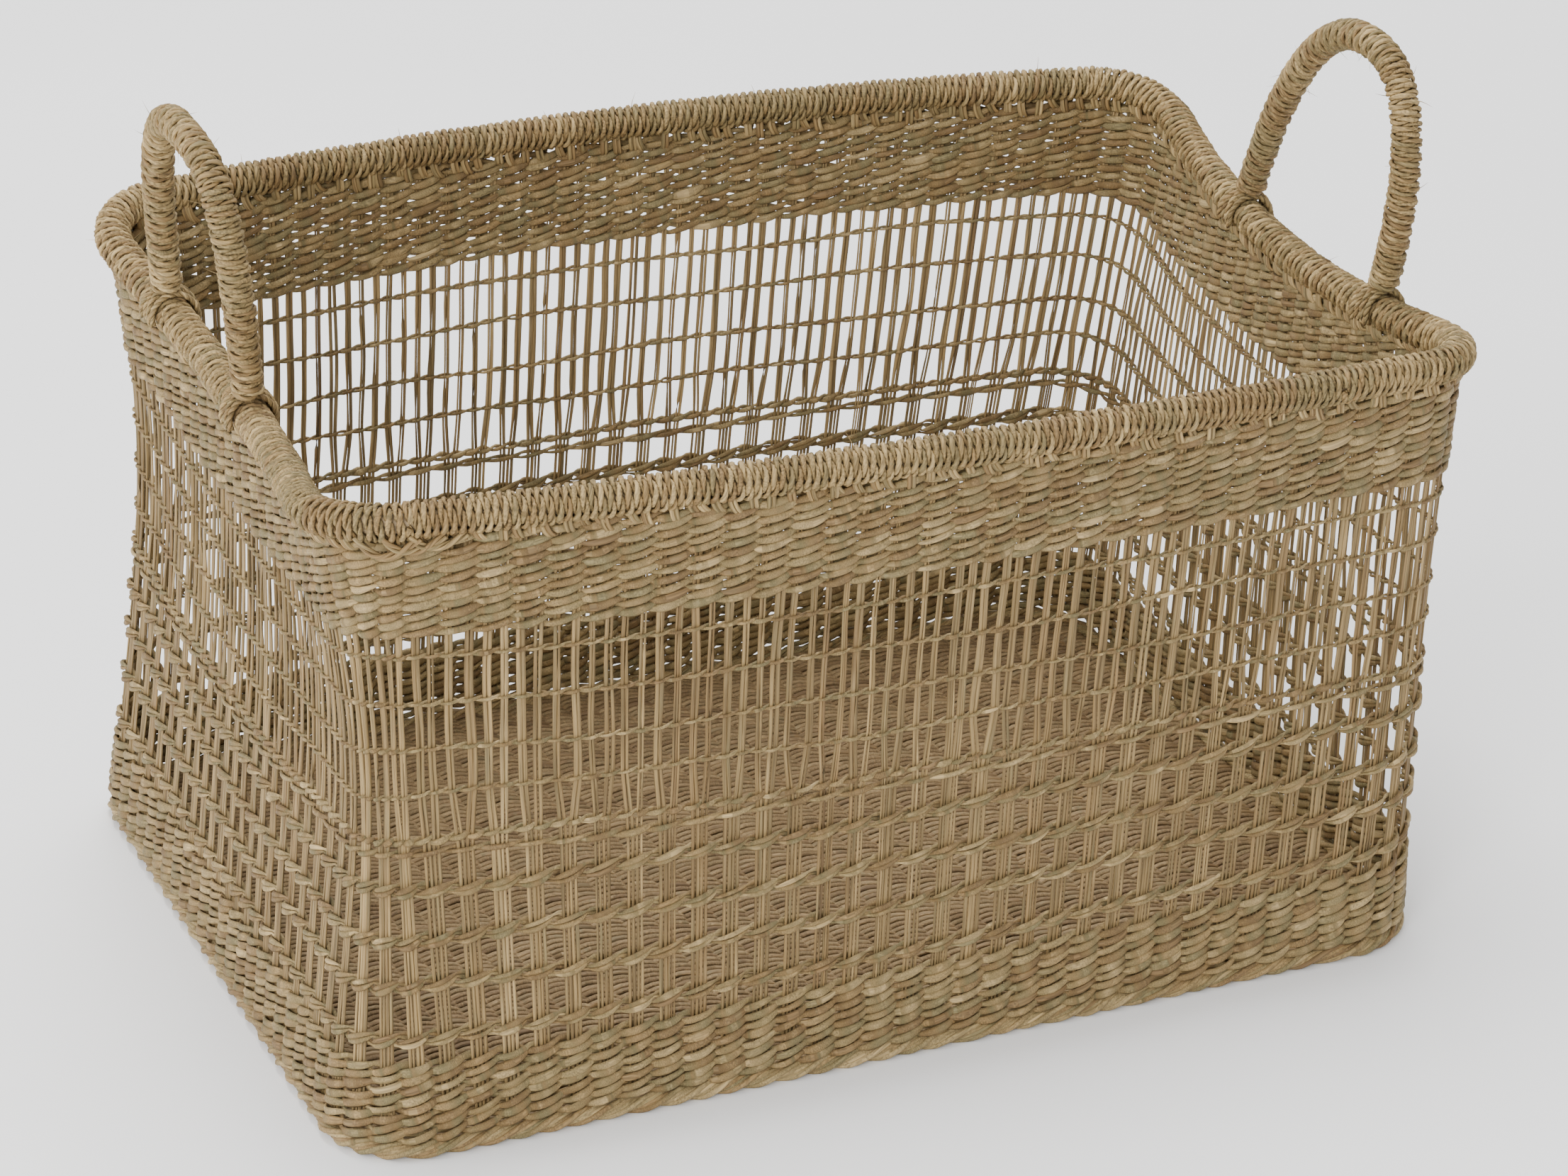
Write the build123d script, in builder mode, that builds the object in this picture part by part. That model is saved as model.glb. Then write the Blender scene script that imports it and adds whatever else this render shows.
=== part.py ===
from build123d import *
from math import cos, exp, pi, radians, sin, sqrt
import os

# Seagrass storage basket, millimetres, +Z up. The origin is under the middle of the basket on the
# surface it stands on, +X runs along the long side and the front long wall faces -Y.

# ---------------------------------------------------------------- driving dimensions
# Base outline: the line that the wall starts from, on the floor border's centre
BASE_LENGTH = 418.0
BASE_WIDTH = 313.0
BASE_RADIUS = 30.0
BASE_CENTRE = (-15.7, -3.25)
# Rim: centreline of the wrapped bar. Its long sides bow out and its short sides bow in and dip
RIM_LENGTH = 446.0
RIM_WIDTH = 269.0
RIM_RADIUS = 30.0
RIM_CENTRE = (2.8, 4.25)
RIM_HEIGHT = 232.5
RIM_BOW_LONG = 17.5
RIM_BOW_SHORT = -14.0
RIM_RISE_LONG = 2.5
RIM_DIP_SHORT = 13.0
RIM_TILT_X = -4.7
RIM_TILT_Y = 9.5
# Power by which a side's bow fades towards the middle of the basket
BOW_FADE = 3
RIM_BAR_RADIUS = 7.0
RIM_CORE_RADIUS = 4.0

# How far the soft wall sags inward at its four corners, front left first, and between them
CORNER_SAGS = (13.0, 1.5, 4.0, 9.0)
WALL_SAG = 3.0
SAG_REACH = 70.0
SAG_SKEW = 1.35

# Border and floor
BORDER_RADIUS = 3.5
FLOOR_GAP = 0.5
FLOOR_WEFT = 2.4
FLOOR_WARP = 1.0
FLOOR_WARP_WIDTH = 3.0
FLOOR_WARP_PITCH = 11.2

# Stakes stand in pairs, sandwiched between an outer and an inner weft strand
STAKE_PAIRS = 124
STAKE_WIDTH = 2.2
STAKE_THICKNESS = 0.8
PAIR_SPREAD_LOW = 0.13
PAIR_SPREAD_HIGH = 0.25
WEFT_CLEARANCE = 0.6
CLEARANCE = 0.1

# Heights in the wall, as a share of the way from the base outline to the rim's centreline
FOOT_BAND = (0.032, 0.135)
THICK_ROWS = {"row_i": 0.168, "row_h": 0.251, "row_g": 0.324, "row_f": 0.399}
DOUBLE_ROW = (0.455, 0.476)
FINE_ROWS = {"row_d": 0.548, "row_c": 0.616, "row_b": 0.694, "row_a": 0.767}
TOP_BAND = (0.806, 0.966)
STAKE_SPAN = (0.034, 0.964)
LACING_SPAN = (0.936, 0.964)
LACING_COUNT = 62
LACING_SIZE = (2.6, 0.7)
LACING_GAP = 0.6

FOOT_BAND_THICKNESS = 2.2
TOP_BAND_THICKNESS = 1.7
THICK_STRAND = (2.2, 4.6)
DOUBLE_STRAND = (1.9, 2.8)
FINE_STRAND = (1.5, 2.0)

# Handles: wire-cored arches, each turning about the line through its two feet on the rim
HANDLE_RADIUS = 6.0
HANDLE_CORE_RADIUS = 2.6
HANDLE_HEIGHT = 95.0
LASHING_LENGTH = 13.0
LASHING_BORE = 8.1
LASHING_WALL = 2.2
SADDLE_OPENING = 116.0
# name: side, foot places along the short side, lean of the arch in X, shift of its top in Y, and
# the power that shapes it, which is 1 in a half ellipse and less in a squarer arch
HANDLES = {
    "left_handle": (-1, (-0.17, 0.47), -11.5, -26.0, 0.65),
    "right_handle": (1, (-0.5, 0.24), 5.0, -29.5, 0.85),
}

# Sections that a closed ring is lofted through, as places round the outline
CORNER_STEPS = 6
SIDE_STEPS = 8
# Turns, in radians, of the sections in the front half of a handle's arch
ARCH_TURNS = (0, 0.06, 0.16, 0.3, 0.45, 0.62, 0.82, 1.05, 1.3)
# Small step along the outline that gives its direction, and a quarter circle's arc over its chord
PLACE_STEP = 0.02
ARC_OVER_CHORD = pi / 2 / sqrt(2)


# ---------------------------------------------------------------- the wall's surface
def ring_places():
    """Places round the outline, 0 to 8: odd spans are corners, even spans are straight sides."""
    places = []
    for side in range(4):
        places += [2 * side + i / SIDE_STEPS for i in range(SIDE_STEPS)]
        places += [2 * side + 1 + i / CORNER_STEPS for i in range(CORNER_STEPS)]
    return places


def rounded_rectangle(place, length, width, radius):
    """A point of a rounded rectangle, from the front side's left end, anticlockwise from above."""
    side, along = divmod(place % 8, 2)
    half = (length / 2 - radius, width / 2 - radius)
    corners = ((-1, -1), (1, -1), (1, 1), (-1, 1))
    start = corners[int(side)]
    end = corners[(int(side) + 1) % 4]
    outward = (0, -1), (1, 0), (0, 1), (-1, 0)
    if along <= 1:
        mix = [start[i] + (end[i] - start[i]) * along for i in (0, 1)]
        out = outward[int(side)]
        return tuple(mix[i] * half[i] + out[i] * radius for i in (0, 1))
    angle = radians(-90 + 90 * side + 90 * (along - 1))
    return end[0] * half[0] + radius * cos(angle), end[1] * half[1] + radius * sin(angle)


def base_point(place):
    x, y = rounded_rectangle(place, BASE_LENGTH, BASE_WIDTH, BASE_RADIUS)
    return Vector(x + BASE_CENTRE[0], y + BASE_CENTRE[1], BORDER_RADIUS)


def rim_from_outline(x, y):
    """Bows, dips and tilts a point of the plain rim outline."""
    u = 2 * x / RIM_LENGTH
    v = 2 * y / RIM_WIDTH
    on_long = (1 - u * u) * abs(v) ** BOW_FADE
    on_short = (1 - v * v) * abs(u) ** BOW_FADE
    bowed_x = x + RIM_BOW_SHORT * on_short * (1 if u > 0 else -1)
    bowed_y = y + RIM_BOW_LONG * on_long * (1 if v > 0 else -1)
    height = RIM_HEIGHT + RIM_RISE_LONG * on_long - RIM_DIP_SHORT * on_short
    height += RIM_TILT_X * u + RIM_TILT_Y * v
    return Vector(bowed_x + RIM_CENTRE[0], bowed_y + RIM_CENTRE[1], height)


def rim_point(place):
    return rim_from_outline(*rounded_rectangle(place, RIM_LENGTH, RIM_WIDTH, RIM_RADIUS))


def sag(place, share):
    """How far the wall leans inward from the straight line between base and rim."""
    here = base_point(place)
    depth = WALL_SAG
    for corner, amount in enumerate(CORNER_SAGS):
        apart = (here - base_point(2 * corner - 0.5)).length
        depth += (amount - WALL_SAG) * exp(-((apart / SAG_REACH) ** 2))
    return depth * sin(pi * share**SAG_SKEW)


def outward(place):
    """The level direction square to the wall, pointing out of the basket."""
    ahead = base_point(place + PLACE_STEP) + rim_point(place + PLACE_STEP)
    behind = base_point(place - PLACE_STEP) + rim_point(place - PLACE_STEP)
    along = ahead - behind
    return Vector(along.Y, -along.X, 0).normalized()


def wall_point(place, share, offset=0.0):
    """A point at a share of the wall's height, offset outward from its middle surface."""
    straight = base_point(place) * (1 - share) + rim_point(place) * share
    return straight + outward(place) * (offset - sag(place, share))


def ring_plane(place, share, offset=0.0):
    """The plane that cuts a ring in the wall: X points outward and Y up the wall."""
    here = wall_point(place, share, offset)
    up = rim_point(place) - base_point(place)
    return Plane(here, x_dir=outward(place), z_dir=outward(place).cross(up))


def half_rings():
    """The places of two halves of a closed ring, which share their end sections."""
    places = ring_places()
    middle = len(places) // 2
    return places[: middle + 1], places[middle:] + [places[0] + 8]


def strand_ring(share, offset, width, height, mode=Mode.ADD):
    """One weft strand lying round the whole basket, flattened to an ellipse."""
    for half in half_rings():
        sections = []
        for place in half:
            with BuildSketch(ring_plane(place, share, offset)) as section:
                Ellipse(width / 2, height / 2)
            sections.append(section.sketch)
        loft(sections, ruled=True, mode=mode)


def band_ring(span, inner, outer):
    """A dense band round the whole basket, between two heights and two offsets."""
    for half in half_rings():
        sections = []
        for place in half:
            plane = ring_plane(place, span[0])
            heights = span[0], sum(span) / 2, span[1]
            outer_face = [wall_point(place, share, outer) for share in heights]
            inner_face = [wall_point(place, share, inner) for share in reversed(heights)]
            corners = [plane.to_local_coords(point) for point in outer_face + inner_face]
            with BuildSketch(plane) as section:
                with BuildLine():
                    Polyline(*[(c.X, c.Y) for c in corners], close=True)
                make_face()
            sections.append(section.sketch)
        loft(sections, ruled=True)


def save(piece, name):
    piece.part.label = name
    export_step(piece.part, f"parts/{name}.step")


os.makedirs("parts", exist_ok=True)

# ---------------------------------------------------------------- floor
floor_outline = (
    BASE_LENGTH - 2 * (BORDER_RADIUS + FLOOR_GAP),
    BASE_WIDTH - 2 * (BORDER_RADIUS + FLOOR_GAP),
)
floor_radius = BASE_RADIUS - BORDER_RADIUS - FLOOR_GAP
warp_level = FLOOR_WEFT + CLEARANCE / 2
upper_level = FLOOR_WEFT + FLOOR_WARP + CLEARANCE

with BuildPart() as floor_lower_wefts:
    with BuildSketch(Plane.XY):
        with Locations(BASE_CENTRE):
            RectangleRounded(*floor_outline, floor_radius)
    extrude(amount=FLOOR_WEFT)
save(floor_lower_wefts, "floor_lower_wefts")

with BuildPart() as floor_upper_wefts:
    with BuildSketch(Plane.XY.offset(upper_level)):
        with Locations(BASE_CENTRE):
            RectangleRounded(*floor_outline, floor_radius)
    extrude(amount=FLOOR_WEFT)
save(floor_upper_wefts, "floor_upper_wefts")

# The warps are left out where the floor's corners are rounded
corner_warps = int(floor_radius / FLOOR_WARP_PITCH)
warp_count = int(floor_outline[0] / FLOOR_WARP_PITCH) - 2 * corner_warps
with BuildPart() as floor_warps:
    with BuildSketch(Plane.XY.offset(warp_level)):
        with Locations(BASE_CENTRE):
            with GridLocations(FLOOR_WARP_PITCH, 0, warp_count, 1):
                Rectangle(FLOOR_WARP_WIDTH, floor_outline[1])
    extrude(amount=FLOOR_WARP)
save(floor_warps, "floor_warps")

with BuildPart() as base_border:
    strand_ring(0, 0, 2 * BORDER_RADIUS, 2 * BORDER_RADIUS)
save(base_border, "base_border")

# ---------------------------------------------------------------- dense bands and weft rows
weft_face = STAKE_THICKNESS / 2 + WEFT_CLEARANCE
for name, span, thickness in (
    ("foot_band", FOOT_BAND, FOOT_BAND_THICKNESS),
    ("top_band", TOP_BAND, TOP_BAND_THICKNESS),
):
    with BuildPart() as outer_band:
        band_ring(span, weft_face, weft_face + thickness)
    save(outer_band, f"{name}_outer")
    with BuildPart() as inner_band:
        band_ring(span, -weft_face - thickness, -weft_face)
    save(inner_band, f"{name}_inner")

rows = {name: ([share], THICK_STRAND) for name, share in THICK_ROWS.items()}
rows["row_e"] = (DOUBLE_ROW, DOUBLE_STRAND)
rows.update({name: ([share], FINE_STRAND) for name, share in FINE_ROWS.items()})
for name, (shares, (width, height)) in rows.items():
    offset = weft_face + width / 2
    with BuildPart() as row:
        for share in shares:
            strand_ring(share, offset, width, height)
            strand_ring(share, -offset, width, height)
    save(row, name)

# ---------------------------------------------------------------- stakes
# Lengths of the sides and corners at the base share out the stake pairs
span_lengths = [
    (base_point(i + 1) - base_point(i)).length * (1 if i % 2 == 0 else ARC_OVER_CHORD)
    for i in range(8)
]


def place_along(distance):
    """The place that lies a distance round the base outline from the front side's left end."""
    distance %= sum(span_lengths)
    for i, length in enumerate(span_lengths):
        if distance <= length:
            return i + distance / length
        distance -= length
    return 8.0


def stake(middle, side):
    """One stake of a pair: close to its twin below the double row, evenly spaced above it."""
    low, top = STAKE_SPAN
    split = DOUBLE_ROW[0]
    pitch = sum(span_lengths) / STAKE_PAIRS
    sections = []
    for share in (low, FOOT_BAND[1], THICK_ROWS["row_g"], split, FINE_ROWS["row_c"], TOP_BAND[0], top):
        opened = min(1, max(0, (share - split) / (FINE_ROWS["row_d"] - split)))
        spread = PAIR_SPREAD_LOW + (PAIR_SPREAD_HIGH - PAIR_SPREAD_LOW) * opened
        place = place_along(middle + side * spread * pitch)
        here = wall_point(place, share)
        with BuildSketch(Plane(here, x_dir=outward(place), z_dir=(0, 0, 1))) as section:
            Rectangle(STAKE_THICKNESS, STAKE_WIDTH)
        sections.append(section.sketch)
    return loft(sections, mode=Mode.PRIVATE)


WALLS = ("front", "front_right_corner", "right", "back_right_corner")
WALLS += ("back", "back_left_corner", "left", "front_left_corner")
pairs_of_wall = {name: [] for name in WALLS}
for pair in range(STAKE_PAIRS):
    middle = (pair + 0.5) * sum(span_lengths) / STAKE_PAIRS
    pairs_of_wall[WALLS[int(place_along(middle)) % 8]].append(middle)

for name, middles in pairs_of_wall.items():
    with BuildPart() as stakes:
        add([stake(middle, side) for middle in middles for side in (-1, 1)])
    save(stakes, f"{name}_stakes")

# ---------------------------------------------------------------- rim
with BuildPart() as rim_core:
    strand_ring(1, 0, 2 * RIM_CORE_RADIUS, 2 * RIM_CORE_RADIUS)
save(rim_core, "rim_core")

bore = 2 * (RIM_CORE_RADIUS + CLEARANCE)
with BuildPart() as rim_wrap:
    strand_ring(1, 0, 2 * RIM_BAR_RADIUS, 2 * RIM_BAR_RADIUS)
    strand_ring(1, 0, bore, bore, Mode.SUBTRACT)
save(rim_wrap, "rim_wrap")

# Short straps of cord that tie the rim down to the top band's outer face
lacing_offset = weft_face + TOP_BAND_THICKNESS + LACING_GAP + LACING_SIZE[1] / 2
straps = []
for i in range(LACING_COUNT):
    place = place_along((i + 0.5) * sum(span_lengths) / LACING_COUNT)
    sections = []
    for share in LACING_SPAN:
        here = wall_point(place, share, lacing_offset)
        with BuildSketch(Plane(here, x_dir=outward(place), z_dir=(0, 0, 1))) as section:
            Rectangle(LACING_SIZE[1], LACING_SIZE[0])
        sections.append(section.sketch)
    with BuildPart(mode=Mode.PRIVATE) as strap:
        loft(sections)
    straps.append(strap.part)
with BuildPart() as rim_lacing:
    add(straps)
save(rim_lacing, "rim_lacing")


# ---------------------------------------------------------------- handles
def rim_foot(side, along):
    """The point on the rim's centreline at a place along a short side, -1 to 1."""
    return rim_from_outline(side * RIM_LENGTH / 2, along * RIM_WIDTH / 2)


def arch_point(feet, rise, power, turn):
    """A point of a handle's centreline, from its front foot at turn 0 to its back foot at pi."""
    centre = (feet[0] + feet[1]) * 0.5
    along = abs(cos(turn)) ** power * (1 if turn < pi / 2 else -1)
    return centre - (feet[1] - feet[0]) * 0.5 * along + rise * sin(turn) ** power


def arch_sections(feet, rise, power, radius):
    """Round sections square to the arch, closer together at its shoulders."""
    turns = [*ARCH_TURNS, pi / 2] + [pi - turn for turn in reversed(ARCH_TURNS)]
    points = [arch_point(feet, rise, power, turn) for turn in turns]
    sections = []
    for i, point in enumerate(points):
        ahead = points[min(i + 1, len(points) - 1)]
        behind = points[max(i - 1, 0)]
        with BuildSketch(Plane(point, z_dir=ahead - behind)) as section:
            Circle(radius)
        sections.append(section.sketch)
    return sections


for name, (side, places, lean, shift, power) in HANDLES.items():
    feet = [rim_foot(side, along) for along in places]
    rise = Vector(lean, shift, HANDLE_HEIGHT)
    hinge = (feet[1] - feet[0]).normalized()
    saddle_radius = LASHING_BORE + LASHING_WALL
    foot_planes = [Plane(foot, z_dir=hinge) for foot in feet]
    print(name, "hinge at", (feet[0] + feet[1]) * 0.5, "axis", hinge)

    with BuildPart() as core:
        loft(arch_sections(feet, rise, power, HANDLE_CORE_RADIUS))
        for plane in foot_planes:
            with Locations(plane):
                Cylinder(saddle_radius + CLEARANCE, 3 * LASHING_LENGTH, mode=Mode.SUBTRACT)
    save(core, f"{name}_core")

    with BuildPart() as wrap:
        loft(arch_sections(feet, rise, power, HANDLE_RADIUS))
        bore = arch_sections(feet, rise, power, HANDLE_CORE_RADIUS + CLEARANCE)
        loft(bore, mode=Mode.SUBTRACT)
        for plane in foot_planes:
            with Locations(plane):
                Cylinder(saddle_radius + CLEARANCE, 3 * LASHING_LENGTH, mode=Mode.SUBTRACT)
    save(wrap, f"{name}_wrap")

    # Each lashing is a saddle over the rim, open underneath where the wall hangs from the rim
    for end, foot in zip(("front", "back"), feet):
        down = Vector(0, 0, -1)
        level = hinge.cross(down).normalized()
        below = level.cross(hinge)
        start = below.rotate(Axis((0, 0, 0), hinge), SADDLE_OPENING / 2)
        with BuildPart() as lashing:
            with BuildSketch(Plane(foot, x_dir=start, z_dir=start.cross(hinge))):
                with Locations((LASHING_BORE + LASHING_WALL / 2, 0)):
                    Rectangle(LASHING_WALL, LASHING_LENGTH)
            revolve(axis=Axis(foot, hinge), revolution_arc=360 - SADDLE_OPENING)
        save(lashing, f"{name}_{end}_lashing")
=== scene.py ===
"""Seagrass storage basket: woven walls, wrapped rim and two swinging handles."""
import math

import bpy
import numpy as np
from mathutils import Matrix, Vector


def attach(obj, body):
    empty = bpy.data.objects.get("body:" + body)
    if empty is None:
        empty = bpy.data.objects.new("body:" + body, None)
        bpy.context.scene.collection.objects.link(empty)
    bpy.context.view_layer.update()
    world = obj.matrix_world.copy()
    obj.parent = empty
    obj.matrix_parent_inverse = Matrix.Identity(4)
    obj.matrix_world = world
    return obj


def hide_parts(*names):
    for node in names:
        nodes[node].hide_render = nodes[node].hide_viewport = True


# Sizes of the basket, in metres, which are the same as in the part's model
BASE_LENGTH = 0.418
BASE_WIDTH = 0.313
BASE_RADIUS = 0.030
BASE_CENTRE = (-0.0157, -0.00325)
RIM_LENGTH = 0.446
RIM_WIDTH = 0.269
RIM_RADIUS = 0.030
RIM_CENTRE = (0.0028, 0.00425)
RIM_HEIGHT = 0.2325
RIM_BOW_LONG = 0.0175
RIM_BOW_SHORT = -0.014
RIM_RISE_LONG = 0.0025
RIM_DIP_SHORT = 0.013
RIM_TILT_X = -0.0047
RIM_TILT_Y = 0.0095
BORDER_RADIUS = 0.0035
WALL_SAG = 0.003
CORNER_SAGS = (0.013, 0.0015, 0.004, 0.009)
SAG_REACH = 0.070
SAG_SKEW = 1.35
STAKE_PAIRS = 124
PAIR_SPREAD_LOW = 0.13
PAIR_SPREAD_HIGH = 0.25
HANDLE_HEIGHT = 0.095
# Side, foot places along the rim, lean and shift of the top, and power of the arch's shape
HANDLES = {
    "left_handle": (-1, (-0.17, 0.47), -0.0115, -0.026, 0.65),
    "right_handle": (1, (-0.5, 0.24), 0.005, -0.0295, 0.85),
}
WALL_HEIGHT = RIM_HEIGHT - BORDER_RADIUS
UP = np.array((0.0, 0.0, 1.0))
OUTLINE_STEPS = 320
LINE_STEPS = 4000

# Heights of the rows, as shares of the way from the foot of the wall to the rim
THICK_ROWS = {"row_i": 0.168, "row_h": 0.251, "row_g": 0.324, "row_f": 0.399}
DOUBLE_ROW = (0.455, 0.476)
FINE_ROWS = {"row_d": 0.548, "row_c": 0.616, "row_b": 0.694, "row_a": 0.767}
FOOT_BAND = (0.016, 0.136)
FOOT_ROWS = 8
TOP_BAND = (0.806, 0.970)
TOP_ROWS = 11

# Strands of the rows: how far they rise and reach from the row's line, and their half sizes
FINE_STRAND = {"rise": 0.00042, "reach": 0.00105, "wide": 0.00072, "thick": 0.00055}
DOUBLE_STRAND = {"rise": 0.0007, "reach": 0.0013, "wide": 0.0011, "thick": 0.0007}
THICK_STRAND = {"rise": 0.0015, "reach": 0.0018, "wide": 0.00115, "thick": 0.0009}
TOP_STRAND = {"rise": 0.0012, "reach": 0.0016, "wide": 0.0016, "thick": 0.0009}
FOOT_STRAND = {"rise": 0.0015, "reach": 0.0018, "wide": 0.00175, "thick": 0.0010}
FOOT_SWELL = 0.0008

# Stakes: the share of the wall that they run over, their half width and half thickness, and how
# many of them are split in three or come apart above the double row
STAKE_SPAN = (0.036, 0.962)
STAKE_STEPS = 46
STAKE_WIDE = 0.0015
STAKE_THICK = 0.00036
SPLIT_IN_THREE = 0.12
COMES_APART = 0.10

# Cord wound round a bar: radius of its line, pitch of its turns, radius of a ply, and its lay
RIM_CORD = {"radius": 0.0053, "pitch": 0.0030, "ply": 0.00105, "lay": 0.0135}
HANDLE_CORD = {"radius": 0.0044, "pitch": 0.0026, "ply": 0.00104, "lay": 0.016}
CORD_STEPS = 24
CORD_SLACK = 0.08

# Lacing between the rim and the top band, as shares of the wall, and its reach off the wall
LACING_TOP = 0.985
LACING_LOW = 0.966
LACING_REACH = 0.0027
LACING_PLY = 0.0008
LACING_STEPS = 13
LOOSE_TURN_REACH = 0.0046
LOOSE_TURN_STEPS = 26

# Lashings of the handles: radii of the plain and the crossed turns, how far down each side of
# the rim they go, and how near to the hinge line the handle's own cord comes
LASHING_RADIUS = 0.0087
CROSSED_RADIUS = 0.0094
LASHING_TAPER = 0.0001
LASHING_SWEEP = math.radians(108)
LASHING_STEPS = 40
LASHING_TURNS = (-0.0044, -0.0015, 0.0015, 0.0044)
CROSSED_TURN = 0.0042
HANDLE_CLEARANCE = 0.0106

# Braid round the bottom edge
BRAID_STEPS = 900
BRAID_TURNS = -41
BRAID_PLIES = 3
BRAID_REACH = 0.0015
BRAID_PLY = 0.0021
BRAID_STRANDS = 3

# Floor mat
FLOOR_MIDDLE = 0.00295
FLOOR_PITCH = 0.0112
FLOOR_ROW_PITCH = 0.0034
FLOOR_INSET = 0.0018
FLOOR_REACH = 0.0013
WARP_STEPS = 24
WARP_APART = 0.0009
WARP_WIDE = 0.0008
WARP_THICK = 0.0004
WEFT_WIDE = 0.00145
WEFT_THICK = 0.0008

# Loose fibres: where they start from a bar's line, and their half width and half thickness
FIBRE_START = 0.0055
FIBRE_WIDE = 0.00016
FIBRE_THICK = 0.00012
RIM_FIBRES = 90
HANDLE_FIBRES = 22

# Lights point here. The world's light comes from all round.
LIGHT_TARGET = Vector((0, 0, 0.1))
WORLD_STRENGTH = 1.1

# Camera: angles in degrees, lens and sensor in millimetres, the rest in metres
CAMERA_AZIMUTH = -23.17
CAMERA_ELEVATION = 24.84
CAMERA_DISTANCE = 1.8976
CAMERA_TARGET = Vector((0.0018, -0.00325, 0.1127))
CAMERA_LENS = 116.4
CAMERA_SENSOR = 36

rng = np.random.default_rng(41)

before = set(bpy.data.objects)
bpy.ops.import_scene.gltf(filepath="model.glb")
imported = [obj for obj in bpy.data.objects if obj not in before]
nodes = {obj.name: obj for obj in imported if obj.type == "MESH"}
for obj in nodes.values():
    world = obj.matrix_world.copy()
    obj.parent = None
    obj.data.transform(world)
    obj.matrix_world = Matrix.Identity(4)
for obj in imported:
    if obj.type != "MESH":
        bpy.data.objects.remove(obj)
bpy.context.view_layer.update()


# ---------------------------------------------------------------- the wall's surface
def rounded_rectangle(place, length, width, radius):
    """Points of a rounded rectangle: even spans of place, 0 to 8, are sides, odd ones corners."""
    place = np.mod(place, 8)
    side = np.minimum((place // 2).astype(int), 3)
    along = place - 2 * side
    half = np.array((length / 2 - radius, width / 2 - radius))
    corners = np.array(((-1, -1), (1, -1), (1, 1), (-1, 1)), float)
    start = corners[side]
    end = corners[(side + 1) % 4]
    outward = np.array(((0, -1), (1, 0), (0, 1), (-1, 0)), float)[side]
    mix = np.clip(along, 0, 1)[:, None]
    straight = (start + (end - start) * mix) * half + outward * radius
    angle = np.radians(-90 + 90 * side + 90 * (along - 1))
    curve = end * half + radius * np.stack((np.cos(angle), np.sin(angle)), 1)
    return np.where((along <= 1)[:, None], straight, curve)


def base_point(place):
    """A point of the border's middle line."""
    flat = rounded_rectangle(place, BASE_LENGTH, BASE_WIDTH, BASE_RADIUS) + BASE_CENTRE
    return np.column_stack((flat, np.full(len(flat), BORDER_RADIUS)))


def rim_from_outline(x, y):
    """The rim's middle line over a point of its plain outline: bowed, dipped and tilted."""
    u = 2 * x / RIM_LENGTH
    v = 2 * y / RIM_WIDTH
    on_long = (1 - u * u) * np.abs(v) ** 3
    on_short = (1 - v * v) * np.abs(u) ** 3
    return np.stack(
        (
            x + RIM_BOW_SHORT * on_short * np.sign(u) + RIM_CENTRE[0],
            y + RIM_BOW_LONG * on_long * np.sign(v) + RIM_CENTRE[1],
            RIM_HEIGHT + RIM_RISE_LONG * on_long - RIM_DIP_SHORT * on_short
            + RIM_TILT_X * u + RIM_TILT_Y * v,
        ),
        -1,
    )


def rim_point(place):
    """A point of the rim's middle line."""
    flat = rounded_rectangle(place, RIM_LENGTH, RIM_WIDTH, RIM_RADIUS)
    return rim_from_outline(flat[:, 0], flat[:, 1])


def sag(place, share):
    """How far the wall falls in between the border and the rim, most of all near its corners."""
    here = base_point(place)
    total = np.full(len(place), WALL_SAG)
    for corner, amount in enumerate(CORNER_SAGS):
        spot = base_point(np.array((2 * corner - 0.5,)))
        away = np.linalg.norm(here - spot, axis=1)
        total = total + (amount - WALL_SAG) * np.exp(-((away / SAG_REACH) ** 2))
    return total * np.sin(np.pi * np.clip(share, 0, 1) ** SAG_SKEW)


def outward(place):
    """The level direction that points out of the wall."""
    step = 0.02
    along = (
        base_point(place + step) + rim_point(place + step)
        - base_point(place - step) - rim_point(place - step)
    )
    across = np.column_stack((along[:, 1], -along[:, 0], np.zeros(len(along))))
    return across / np.linalg.norm(across, axis=1)[:, None]


def wall_point(place, share, offset):
    """A point at a share of the wall's height, with an offset out of the wall."""
    place, share, offset = np.broadcast_arrays(place, share, offset)
    place = place.astype(float)
    mix = share[:, None]
    on_line = base_point(place) * (1 - mix) + rim_point(place) * mix
    return on_line + outward(place) * (offset - sag(place, share))[:, None]


def outline_table(point):
    """Lengths round a closed outline at evenly spaced places."""
    places = np.linspace(0, 8, OUTLINE_STEPS + 1)
    spots = point(places)
    steps = np.linalg.norm(np.diff(spots, axis=0), axis=1)
    return places, np.concatenate(((0,), np.cumsum(steps)))


BASE_TABLE = outline_table(base_point)
RIM_TABLE = outline_table(rim_point)


def pair_place(pair):
    """Place of a pair's number, with the pairs evenly spaced round the foot of the wall."""
    places, lengths = BASE_TABLE
    distance = np.mod(pair, STAKE_PAIRS) / STAKE_PAIRS * lengths[-1]
    return np.interp(distance, lengths, places)


def rim_place(share):
    """Place of a share of the way round the rim."""
    places, lengths = RIM_TABLE
    return np.interp(np.mod(share, 1) * lengths[-1], lengths, places)


# ---------------------------------------------------------------- strands
def unit(v):
    """Each vector at a length of 1."""
    return v / np.maximum(np.linalg.norm(v, axis=-1, keepdims=True), 1e-12)


def ripple(count, waves, closed=True):
    """A smooth random line of about unit size, with at most so many waves."""
    t = np.arange(count) / count
    total = np.zeros(count)
    for _ in range(7):
        turns = rng.integers(1, max(2, waves)) if closed else rng.uniform(0.5, waves)
        total = total + rng.uniform(0.4, 1) * np.sin(2 * np.pi * (turns * t + rng.random()))
    return total / 2.2


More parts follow.
